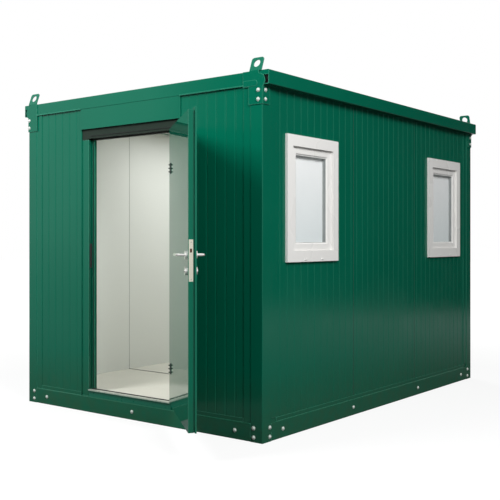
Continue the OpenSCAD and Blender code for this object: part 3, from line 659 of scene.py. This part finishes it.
def bolt_tree():
    """Node tree that puts a washer and a domed head on each point, along its facing attribute."""
    existing = bpy.data.node_groups.get("domed_bolts")
    if existing:
        return existing
    tree = bpy.data.node_groups.new("domed_bolts", "GeometryNodeTree")
    tree.interface.new_socket("Geometry", in_out="INPUT", socket_type="NodeSocketGeometry")
    for label in BOLT_SIZES:
        tree.interface.new_socket(label, in_out="INPUT", socket_type="NodeSocketFloat")
    tree.interface.new_socket("Material", in_out="INPUT", socket_type="NodeSocketMaterial")
    tree.interface.new_socket("Geometry", in_out="OUTPUT", socket_type="NodeSocketGeometry")
    given = add_node(tree, "NodeGroupInput")
    thick = given["Washer Thickness"]
    head_r = add_node(tree, "ShaderNodeMath", {0: given["Head Diameter"], 1: 2.0}, operation="DIVIDE")[0]
    washer_r = add_node(tree, "ShaderNodeMath", {0: given["Washer Diameter"], 1: 2.0}, operation="DIVIDE")[0]
    depth = add_node(tree, "ShaderNodeMath", {0: thick, 1: 2.0}, operation="MULTIPLY")[0]
    ball = add_node(tree, "GeometryNodeMeshUVSphere", {"Segments": 20, "Rings": 10, "Radius": 1.0})["Mesh"]
    half_axes = {"X": head_r, "Y": head_r, "Z": given["Head Rise"]}
    ball_size = add_node(tree, "ShaderNodeCombineXYZ", half_axes)[0]
    on_washer = add_node(tree, "ShaderNodeCombineXYZ", {"Z": thick})[0]
    seat = {"Geometry": ball, "Scale": ball_size, "Translation": on_washer}
    dome = add_node(tree, "GeometryNodeTransform", seat)[0]
    smooth = add_node(tree, "GeometryNodeSetShadeSmooth", {"Geometry": dome})[0]
    round_plate = {"Vertices": 28, "Radius": washer_r, "Depth": depth}
    disc = add_node(tree, "GeometryNodeMeshCylinder", round_plate)["Mesh"]
    bolt = add_node(tree, "GeometryNodeJoinGeometry", {0: [smooth, disc]})[0]
    facing = add_node(
        tree, "GeometryNodeInputNamedAttribute", {"Name": "facing"}, data_type="FLOAT_VECTOR"
    )["Attribute"]
    turn = add_node(tree, "FunctionNodeAlignRotationToVector", {"Vector": facing}, axis="Z")[0]
    spots = {"Points": given["Geometry"], "Instance": bolt, "Rotation": turn}
    placed = add_node(tree, "GeometryNodeInstanceOnPoints", spots)[0]
    real = add_node(tree, "GeometryNodeRealizeInstances", {"Geometry": placed})[0]
    plated = {"Geometry": real, "Material": given["Material"]}
    done = add_node(tree, "GeometryNodeSetMaterial", plated)[0]
    add_node(tree, "NodeGroupOutput", {"Geometry": done})
    return tree


def bolt_mesh(places, sizes, material):
    """Plain mesh of bolts at (point, facing) pairs; sizes are head, rise, washer and washer thickness."""
    points = bpy.data.meshes.new("bolt_points")
    points.from_pydata([tuple(p) for p, _ in places], [], [])
    facing = points.attributes.new("facing", "FLOAT_VECTOR", "POINT")
    facing.data.foreach_set("vector", [c for _, f in places for c in f])
    carrier = bpy.data.objects.new("bolt_points", points)
    bpy.context.scene.collection.objects.link(carrier)
    modifier = carrier.modifiers.new("bolts", "NODES")
    tree = bolt_tree()
    modifier.node_group = tree
    inputs = {s.name: s.identifier for s in tree.interface.items_tree if s.in_out == "INPUT"}
    for label, size in zip(BOLT_SIZES, sizes):
        modifier[inputs[label]] = size
    modifier[inputs["Material"]] = material
    depsgraph = bpy.context.evaluated_depsgraph_get()
    mesh = bpy.data.meshes.new_from_object(carrier.evaluated_get(depsgraph))
    bpy.data.objects.remove(carrier)
    if not mesh.polygons:
        raise RuntimeError("the bolt tree made no faces")
    return mesh


# Operators, one for each piece or group of pieces

class CABIN_OT_paint(bpy.types.Operator):
    """Give every solid of the cabin its finish"""

    bl_idname = "cabin.paint"
    bl_label = "Paint the cabin"

    def execute(self, context):
        finish = context.scene.cabin_finish
        # How strongly the painted edge highlight shows on the panels and on the door leaf
        panel_highlight, leaf_highlight = 0.12, 0.2
        panel = made_material("moss_green_panel_coating", outer_paint, finish, True, panel_highlight)
        finishes = {
            "green_paint": made_material("moss_green_frame_paint", outer_paint, finish),
            "anthracite_trim": made_material("anthracite_powder_coat", satin_skin, tuple(finish.trim)),
            "galvanised_steel": made_material("hot_dip_zinc", hot_zinc),
            "interior_white": made_material("off_white_coil_coating", inner_coating, finish),
            "floor_vinyl": made_material("cream_sheet_vinyl", sheet_vinyl, finish),
            "satin_steel": satin_steel(),
            "dark_steel": dark_plate(),
            "white_pvc": made_material("white_window_vinyl", window_profile, finish),
            "window_glass": made_material("clear_float_glass", clear_glass),
        }
        special = {
            "door_inner_sheet": made_material("moss_green_door_lacquer", door_lacquer, finish),
            "door_leaf": made_material("moss_green_door_paint", outer_paint, finish, False, leaf_highlight),
            "door_sill": made_material("moss_green_sill_with_zinc_strip", sill_paint, finish),
            "door_transom": panel,
            "lock_roses": polished_steel(),
            "lever_handle": polished_steel(),
        }
        for part in frame["record"]["subparts"]:
            node = part["node"]
            usual = panel if "_panel_" in node else finishes[part["material_slot"]]
            frame["nodes"][node].material_slots[0].material = special.get(node, usual)
        return {"FINISHED"}


class CABIN_OT_frame_bolts(bpy.types.Operator):
    """Put domed bolts on the posts, rails and lifting brackets"""

    bl_idname = "cabin.frame_bolts"
    bl_label = "Frame bolts"

    def execute(self, context):
        sizes = context.scene.cabin_fittings
        post_in, flank_in, rail_in = 69 * MM, 77 * MM, 220 * MM
        low_z, high_z, rail_z = 31 * MM, 90 * MM, 58 * MM
        foot_rows = ((post_in, flank_in, low_z), (post_in, flank_in, high_z), (rail_in, rail_in, rail_z))
        bracket_rows = (BRACKET_FOOT + 29 * MM, BRACKET_FOOT + 87 * MM)
        bracket_flank_in, plate = 24 * MM, 6 * MM
        side_places = (-0.5, 0.53)
        places = []
        for sx in (-1, 1):
            side = Vector((sx, 0, 0))
            bracket_in = 28 * MM if sx > 0 else 14 * MM
            for sy in (-1, 1):
                front = Vector((0, sy, 0))
                for inset, flank, z in foot_rows:
                    places.append((Vector((sx * (HALF_WIDTH - inset), sy * HALF_LENGTH, z)), front))
                    places.append((Vector((sx * HALF_WIDTH, sy * (HALF_LENGTH - flank), z)), side))
                for z in bracket_rows:
                    across = (sx * (HALF_WIDTH - bracket_in), sy * (HALF_LENGTH + plate), z)
                    along = (sx * (HALF_WIDTH + plate), sy * (HALF_LENGTH - bracket_flank_in), z)
                    places += [(Vector(across), front), (Vector(along), side)]
            for y in side_places:
                places.append((Vector((sx * HALF_WIDTH, y, rail_z)), side))
        for sy in (-1, 1):
            places.append((Vector((0, sy * HALF_LENGTH, rail_z)), Vector((0, sy, 0))))
        heads = (sizes.bolt_head, sizes.bolt_rise, sizes.bolt_washer, sizes.washer_t)
        add_piece("frame_bolts", bolt_mesh(places, heads, bolt_zinc()), bolt_zinc(), "cabin")
        return {"FINISHED"}


class CABIN_OT_panel_joints(bpy.types.Operator):
    """Lay seal beads in the joints between the wall panels and in the floor's seam"""

    bl_idname = "cabin.panel_joints"
    bl_label = "Panel joints"

    def execute(self, context):
        sizes = context.scene.cabin_fittings
        radius = sizes.joint_bead / 2
        thin = radius / 2
        seam_y = -0.585
        outside = bmesh.new()
        inside = bmesh.new()
        for node, way in (("right_panel_middle", 1), ("left_panel_middle", -1)):
            low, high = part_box(node)
            outer_x = way * (max(abs(low.x), abs(high.x)) - radius)
            inner_x = way * DECK.x
            for y in (low.y, high.y):
                add_bead(outside, (outer_x, y, RAIL_TOP), (outer_x, y, PANEL_TOP), radius)
                add_bead(inside, (inner_x, y, DECK.z), (inner_x, y, PANEL_TOP), thin)
        back_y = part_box("back_panel_left")[1].y - radius
        add_bead(outside, (0, back_y, RAIL_TOP), (0, back_y, PANEL_TOP), radius)
        add_bead(inside, (0, DECK.y, DECK.z), (0, DECK.y, PANEL_TOP), thin)
        add_bead(inside, (-DECK.x, seam_y, DECK.z), (DECK.x, seam_y, DECK.z), sizes.floor_bead / 2)
        add_piece("outer_joint_seals", mesh_from(outside), rubber(), "cabin")
        grey = made_material("grey_silicone", joint_sealant)
        add_piece("inner_joint_seals", mesh_from(inside), grey, "cabin")
        return {"FINISHED"}


class CABIN_OT_door_seals(bpy.types.Operator):
    """Fit the rubber seals of the door frame"""

    bl_idname = "cabin.door_seals"
    bl_label = "Door seals"

    def execute(self, context):
        left_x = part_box("door_jamb_left")[1].x
        right_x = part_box("door_jamb_right")[0].x
        head_low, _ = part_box("door_head")
        sill_low, sill_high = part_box("door_sill")
        gap, inset, head_inset = 5 * MM, 11 * MM, 9 * MM
        seal_w, seal_rise = 6 * MM, 3 * MM
        strip_in, strip_w, strip_h, sunk, round_edge = 36 * MM, 18 * MM, 3 * MM, 1 * MM, 1 * MM
        fin_up, fin_r = 26 * MM, 3 * MM
        stop_y = shut_box("door_inner_sheet")[1].y + gap
        shape = bmesh.new()
        low = (left_x - inset, sill_high.z)
        high = (right_x + inset, head_low.z + head_inset)
        section = half_round(seal_w, seal_rise)
        add_loop(shape, low, high, section, lambda u, v, rise: (u, stop_y - rise, v), open_foot=True)
        add_piece("door_frame_seal", mesh_from(shape), rubber(), "cabin")
        strip_y = sill_low.y + strip_in
        strip_low = (left_x, strip_y, sill_high.z - sunk)
        strip_high = (right_x, strip_y + strip_w, sill_high.z + strip_h)
        shape = bmesh.new()
        add_block(shape, strip_low, strip_high, round_edge)
        add_piece("threshold_seal", mesh_from(shape), rubber(), "cabin")
        # The head bead is black rubber, and its black also paints the thin dark line of reflection that runs along
        # the door head
        fin_z = head_low.z + fin_up
        shape = bmesh.new()
        add_bead(shape, (left_x, head_low.y, fin_z), (right_x, head_low.y, fin_z), fin_r)
        add_piece("head_seal", mesh_from(shape), rubber(), "cabin")
        return {"FINISHED"}


class CABIN_OT_eave_stops(bpy.types.Operator):
    """Press black foam stops into the open ends of the eave channels; their black also paints the shade inside the
    channel ends
    """

    bl_idname = "cabin.eave_stops"
    bl_label = "Eave stops"

    def execute(self, context):
        eave_low, eave_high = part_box("eave_channel_right")
        sheet_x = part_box("roof_sheet")[1].x
        gap, skin, behind, deep, round_edge = 1 * MM, 5 * MM, 14 * MM, 50 * MM, 3 * MM
        near = HALF_LENGTH - behind
        # Black blocks: foam stops whose black also paints the shade inside the open channel ends
        shape = bmesh.new()
        for sx in (-1, 1):
            across = sorted((sx * (sheet_x + gap), sx * (eave_high.x - skin)))
            for sy in (-1, 1):
                along = sorted((sy * near, sy * (near - deep)))
                low = (across[0], along[0], eave_low.z + skin)
                high = (across[1], along[1], eave_high.z - skin)
                add_block(shape, low, high, round_edge)
        add_piece("eave_foam_stops", mesh_from(shape), rubber(), "cabin")
        return {"FINISHED"}


class CABIN_OT_lock_fittings(bpy.types.Operator):
    """Add the faceplate's screws, the latch, black blocks of painted shade for the keyholes, and the strike plate
    """

    bl_idname = "cabin.lock_fittings"
    bl_label = "Lock fittings"

    def execute(self, context):
        plate_low, plate_high = shut_box("lock_faceplate")
        middle_y = (plate_low.y + plate_high.y) / 2
        screw_in, latch_up, latch_back, rose_r = 14 * MM, 25 * MM, 0.5 * MM, 26 * MM
        latch_edge, slot_edge, strike_edge = 0.4 * MM, 0.3 * MM, 0.6 * MM
        outwards = SHUT_TO_OPEN.to_3x3() @ Vector((-1, 0, 0))
        screw_rows = (plate_low.z + screw_in, plate_high.z - screw_in)
        screws = [(SHUT_TO_OPEN @ Vector((plate_low.x, middle_y, z)), outwards) for z in screw_rows]
        heads = (9 * MM, 1.5 * MM, 10 * MM, 0.4 * MM)
        steel = satin_steel()
        add_piece("faceplate_screws", bolt_mesh(screws, heads, steel), steel, "door")
        latch_z = LEVER.z + latch_up
        latch_half = Vector((0, 5 * MM, 10 * MM))
        latch_low = Vector((plate_low.x + latch_back, middle_y, latch_z)) - latch_half
        latch_high = Vector((plate_high.x, middle_y, latch_z)) + latch_half
        shape = bmesh.new()
        add_block(shape, latch_low, latch_high, latch_edge)
        nylon = made_material("brown_nylon", satin_skin, linear("#4b2b22"))
        add_piece("latch_bolt", mesh_from(shape, SHUT_TO_OPEN), nylon, "door")
        rose_low, rose_high = shut_box("lock_roses")
        slot_x = (rose_low.x + rose_high.x) / 2
        slot_half = Vector((1.2 * MM, 0.6 * MM, 5 * MM))
        # Painted shade: a thin black block on each rose's face stands for the dark inside of the keyhole
        shape = bmesh.new()
        for y in (rose_low.y, rose_high.y):
            slot = Vector((slot_x, y, rose_low.z + rose_r))
            add_block(shape, slot - slot_half, slot + slot_half, slot_edge)
        add_piece("key_slots", mesh_from(shape, SHUT_TO_OPEN), rubber(), "door")
        jamb_low, jamb_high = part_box("door_jamb_left")
        rebate, shorter, thick, front_in, back_in = 21 * MM, 30 * MM, 2 * MM, 8 * MM, 32 * MM
        rebate_x = jamb_high.x - rebate
        strike_low = (rebate_x, jamb_low.y + front_in, plate_low.z + shorter)
        strike_high = (rebate_x + thick, jamb_low.y + back_in, plate_high.z - shorter)
        shape = bmesh.new()
        add_block(shape, strike_low, strike_high, strike_edge)
        add_piece("strike_plate", mesh_from(shape), dark_plate(), "cabin")
        return {"FINISHED"}


class CABIN_OT_hinge_bolts(bpy.types.Operator):
    """Put the fixing bolts on the hinge plates inside the door leaf"""

    bl_idname = "cabin.hinge_bolts"
    bl_label = "Hinge bolts"

    def execute(self, context):
        low, high = shut_box("hinge_door_halves")
        plate_half, step, leaf_gap, inset = 35 * MM, 23 * MM, 8 * MM, 14 * MM
        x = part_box("door_jamb_right")[0].x - leaf_gap - inset
        inwards = SHUT_TO_OPEN.to_3x3() @ Vector((0, 1, 0))
        places = []
        for centre in (low.z + plate_half, high.z - plate_half):
            for i in (-1, 0, 1):
                places.append((SHUT_TO_OPEN @ Vector((x, high.y, centre + i * step)), inwards))
        heads = (8 * MM, 9 * MM, 11 * MM, 3 * MM)
        add_piece("hinge_bolts", bolt_mesh(places, heads, dark_plate()), dark_plate(), "door")
        return {"FINISHED"}


class CABIN_OT_glazing(bpy.types.Operator):
    """Build the double glazing units with their spacers and gaskets"""

    bl_idname = "cabin.glazing"
    bl_label = "Glazing"

    def execute(self, context):
        glass_t = context.scene.cabin_fittings.glass_t
        bite, lip, margin, arris, sight_line = 10 * MM, 3 * MM, 1 * MM, 0.5 * MM, 2 * MM
        bar_w = bite + sight_line
        clear, opal, spacer, gasket = bmesh.new(), bmesh.new(), bmesh.new(), bmesh.new()
        for _, (low, high) in window_boxes():
            add_block(clear, (high.x - glass_t, low.y, low.z), high, arris)
            add_block(opal, low, (low.x + glass_t, high.y, high.z), arris)
            bar_x = low.x + glass_t
            bar_t = high.x - glass_t - bar_x
            bar_low = (low.y + margin, low.z + margin)
            bar_high = (high.y - margin, high.z - margin)
            section = [(0, 0), (bar_w, 0), (bar_w, bar_t), (0, bar_t)]
            add_loop(spacer, bar_low, bar_high, section, lambda u, v, rise, x=bar_x: (x + rise, u, v))
            seat = bite - lip
            seat_low = (low.y + seat, low.z + seat)
            seat_high = (high.y - seat, high.z - seat)
            for x, way in ((high.x, 1), (low.x, -1)):
                add_loop(
                    gasket,
                    seat_low,
                    seat_high,
                    half_round(2 * lip, lip),
                    lambda u, v, rise, x=x, way=way: (x + way * rise, u, v),
                )
        sheets = bpy.data.materials["clear_float_glass"]
        panes = add_piece("outer_glass", mesh_from(clear), sheets, "cabin")
        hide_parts("window_panes")
        frosted = made_material("frosted_float_glass", opal_glass)
        add_piece("inner_glass", mesh_from(opal), frosted, "cabin")
        bar = made_material("grey_polypropylene", satin_skin, linear("#8d9191"))
        add_piece("glazing_spacers", mesh_from(spacer), bar, "cabin")
        pale = made_material("pale_elastomer", satin_skin, linear("#c9cbc9"))
        add_piece("glazing_gaskets", mesh_from(gasket), pale, "cabin")
        return {"FINISHED"}


class CABIN_OT_drain_caps(bpy.types.Operator):
    """Clip the drain caps on the feet of the window frames"""

    bl_idname = "cabin.drain_caps"
    bl_label = "Drain caps"

    def execute(self, context):
        half = context.scene.cabin_fittings.cap_w / 2
        off_middle, rise, tall = 100 * MM, 10 * MM, 10 * MM
        proud, sunk, round_edge = 5 * MM, 1 * MM, 2.5 * MM
        shape = bmesh.new()
        for (low, high), _ in window_boxes():
            for way in (-1, 1):
                y = (low.y + high.y) / 2 + way * off_middle
                foot = (high.x - sunk, y - half, low.z + rise)
                top = (high.x + proud, y + half, low.z + rise + tall)
                add_block(shape, foot, top, round_edge)
        vinyl = bpy.data.materials["white_window_vinyl"]
        add_piece("drain_caps", mesh_from(shape), vinyl, "cabin")
        return {"FINISHED"}


# Studio

FLOOR_REACH = 40.0
FLOOR_NEAR, FLOOR_FAR = 2.5, 7.0
FLOOR_GREY = linear("#656565")
WHITE_LIGHT = linear("#ffffff")

# Name, width, place and aim of each lamp; its power is the setting of that name
LAMPS = (
    ("front", 2.0, (-1.0, -5.5, 4.5), (0.0, -1.6, 1.2)),
    ("side", 2.5, (5.5, -3.7, 4.9), (1.1, -0.9, 1.2)),
    ("back", 2.5, (-5.2, 5.6, 6.0), (-0.4, 0.6, 1.2)),
    ("room", 1.4, (0.0, 0.0, 2.22), (0.0, 0.0, 0.0)),
)

# Name and opposite corners of each dark card, which keeps the bright sky out of the gloss of one wall
CARDS = (
    ("side_flag", (1.9, 5.3, 0.3), (5.9, 3.0, 6.0)),
    ("front_flag", (-3.5, -6.0, 0.3), (-0.8, -6.0, 8.0)),
)


def studio_floor(name):
    """Plain matt floor: it takes shadows and glows to the camera, in mirrors and through glass.

    Its glow is painted: whiter far off, and far dimmer in mirrors near the cabin, a painted shade round it.
    """
    material, tree, place = start_material(name)
    rays = add_node(tree, "ShaderNodeLightPath")
    distance = add_node(tree, "ShaderNodeVectorMath", {0: place}, operation="LENGTH")["Value"]
    reach = {"Value": distance, "From Min": FLOOR_NEAR, "From Max": FLOOR_FAR}
    # Painted light and shade: the glow rises from near the cabin to far off, and mirrors see it much dimmer near
    # the cabin
    painted_glow = add_node(tree, "ShaderNodeMapRange", {**reach, "To Min": 0.86, "To Max": 1.0})["Result"]
    painted_mirror_shade = add_node(tree, "ShaderNodeMapRange", {**reach, "To Min": 0.04, "To Max": 0.5})["Result"]
    glossy = {0: rays["Is Glossy Ray"], 1: painted_mirror_shade}
    mirrored = add_node(tree, "ShaderNodeMath", glossy, operation="MULTIPLY")[0]
    plain = {0: rays["Is Camera Ray"], 1: rays["Is Transmission Ray"]}
    direct = add_node(tree, "ShaderNodeMath", plain, operation="MAXIMUM")[0]
    seen = add_node(tree, "ShaderNodeMath", {0: direct, 1: mirrored}, operation="MAXIMUM")[0]
    strength = add_node(tree, "ShaderNodeMath", {0: seen, 1: painted_glow}, operation="MULTIPLY")[0]
    light = add_node(tree, "ShaderNodeEmission", {"Color": WHITE_LIGHT, "Strength": strength})
    matt = add_node(tree, "ShaderNodeBsdfDiffuse", {"Color": FLOOR_GREY})
    both = add_node(tree, "ShaderNodeAddShader", {0: light[0], 1: matt[0]})
    return end_material(material, tree, both)


def black_card(name):
    """Matt black card: it gives the gloss something dark to mirror."""
    material, tree, _ = start_material(name)
    shader = add_node(tree, "ShaderNodeBsdfDiffuse", {"Color": linear("#202421")})
    return end_material(material, tree, shader)


def add_sheet(name, corners, material):
    """Flat sheet of the studio between four corners."""
    mesh = bpy.data.meshes.new(name)
    mesh.from_pydata(corners, [], [(0, 1, 2, 3)])
    mesh.materials.append(material)
    sheet = bpy.data.objects.new(name, mesh)
    bpy.context.scene.collection.objects.link(sheet)
    return sheet


def add_card(name, low, high):
    """Upright dark card between two corners that only gloss can see."""
    corners = [low, (high[0], high[1], low[2]), high, (low[0], low[1], high[2])]
    card = add_sheet(name, corners, black_card(name))
    card.visible_camera = False
    card.visible_diffuse = False
    card.visible_shadow = False
    card.visible_transmission = False


def add_lamp(name, power, size, place, target):
    """Square soft lamp at a place, aimed at a target, that neither the camera nor gloss can see."""
    lamp = bpy.data.lights.new(name, "AREA")
    lamp.energy = power
    lamp.size = size
    holder = bpy.data.objects.new(name, lamp)
    aim = (Vector(target) - Vector(place)).to_track_quat("-Z", "Y")
    holder.matrix_world = Matrix.Translation(place) @ aim.to_matrix().to_4x4()
    holder.visible_camera = False
    holder.visible_glossy = False
    bpy.context.scene.collection.objects.link(holder)


def add_sky(strength):
    """Even light on the cabin from a sky that looks white to the camera, in mirrors and through glass."""
    world = bpy.data.worlds.new("studio_sky")
    world.use_nodes = True
    tree = world.node_tree
    tree.nodes.clear()
    rays = add_node(tree, "ShaderNodeLightPath")
    plain = {0: rays["Is Camera Ray"], 1: rays["Is Glossy Ray"]}
    direct = add_node(tree, "ShaderNodeMath", plain, operation="MAXIMUM")[0]
    through = {0: direct, 1: rays["Is Transmission Ray"]}
    seen = add_node(tree, "ShaderNodeMath", through, operation="MAXIMUM")[0]
    levels = {"Value": seen, "From Min": 0.0, "From Max": 1.0, "To Min": strength, "To Max": 1.0}
    level = add_node(tree, "ShaderNodeMapRange", levels)["Result"]
    sky = add_node(tree, "ShaderNodeBackground", {"Color": WHITE_LIGHT, "Strength": level})
    add_node(tree, "ShaderNodeOutputWorld", {"Surface": sky[0]})
    return world


class CABIN_OT_stage(bpy.types.Operator):
    """Set the floor, the light and the camera"""

    bl_idname = "cabin.stage"
    bl_label = "Studio"

    def execute(self, context):
        scene = context.scene
        studio = scene.cabin_studio
        scene.view_settings.view_transform = "Standard"
        scene.world = add_sky(studio.sky)
        edge = FLOOR_REACH
        corners = [(-edge, -edge, 0), (edge, -edge, 0), (edge, edge, 0), (-edge, edge, 0)]
        add_sheet("studio_floor", corners, studio_floor("studio_floor_white"))
        for name, low, high in CARDS:
            add_card(name, low, high)
        for name, size, place, target in LAMPS:
            add_lamp(f"{name}_lamp", getattr(studio, name), size, place, target)
        camera = bpy.data.cameras.new("photo_camera")
        camera.sensor_width = 36.0
        camera.lens = studio.lens
        camera.shift_y = studio.shift
        holder = bpy.data.objects.new("photo_camera", camera)
        holder.location = studio.eye
        holder.rotation_euler = (math.radians(90), 0.0, studio.turn)
        scene.collection.objects.link(holder)
        scene.camera = holder
        return {"FINISHED"}


# Panel and registration

class VIEW3D_PT_cabin(bpy.types.Panel):
    """Sidebar panel with the cabin's settings and operators"""

    bl_label = "Site Cabin"
    bl_idname = "VIEW3D_PT_cabin"
    bl_space_type = "VIEW_3D"
    bl_region_type = "UI"
    bl_category = "Cabin"

    def draw(self, context):
        for group_name in GROUPS:
            group = getattr(context.scene, group_name)
            box = self.layout.box()
            for name in group.bl_rna.properties.keys():
                if name not in ("name", "rna_type"):
                    box.prop(group, name)
        for operator in OPERATORS:
            self.layout.operator(operator.bl_idname)


GROUPS = {"cabin_finish": CabinFinish, "cabin_fittings": CabinFittings, "cabin_studio": CabinStudio}
OPERATORS = (
    CABIN_OT_paint,
    CABIN_OT_frame_bolts,
    CABIN_OT_panel_joints,
    CABIN_OT_door_seals,
    CABIN_OT_eave_stops,
    CABIN_OT_lock_fittings,
    CABIN_OT_hinge_bolts,
    CABIN_OT_glazing,
    CABIN_OT_drain_caps,
    CABIN_OT_stage,
)
CLASSES = (*GROUPS.values(), *OPERATORS, VIEW3D_PT_cabin)


def register():
    """Registers the classes and hangs the settings on the scene."""
    for kind in CLASSES:
        bpy.utils.register_class(kind)
    for name, kind in GROUPS.items():
        setattr(bpy.types.Scene, name, PointerProperty(type=kind))


def unregister():
    """Takes the settings off the scene and unregisters the classes."""
    for name in GROUPS:
        delattr(bpy.types.Scene, name)
    for kind in reversed(CLASSES):
        bpy.utils.unregister_class(kind)


def main():
    register()
    for operator in OPERATORS:
        family, name = operator.bl_idname.split(".")
        getattr(getattr(bpy.ops, family), name)()


if __name__ == "__main__":
    main()
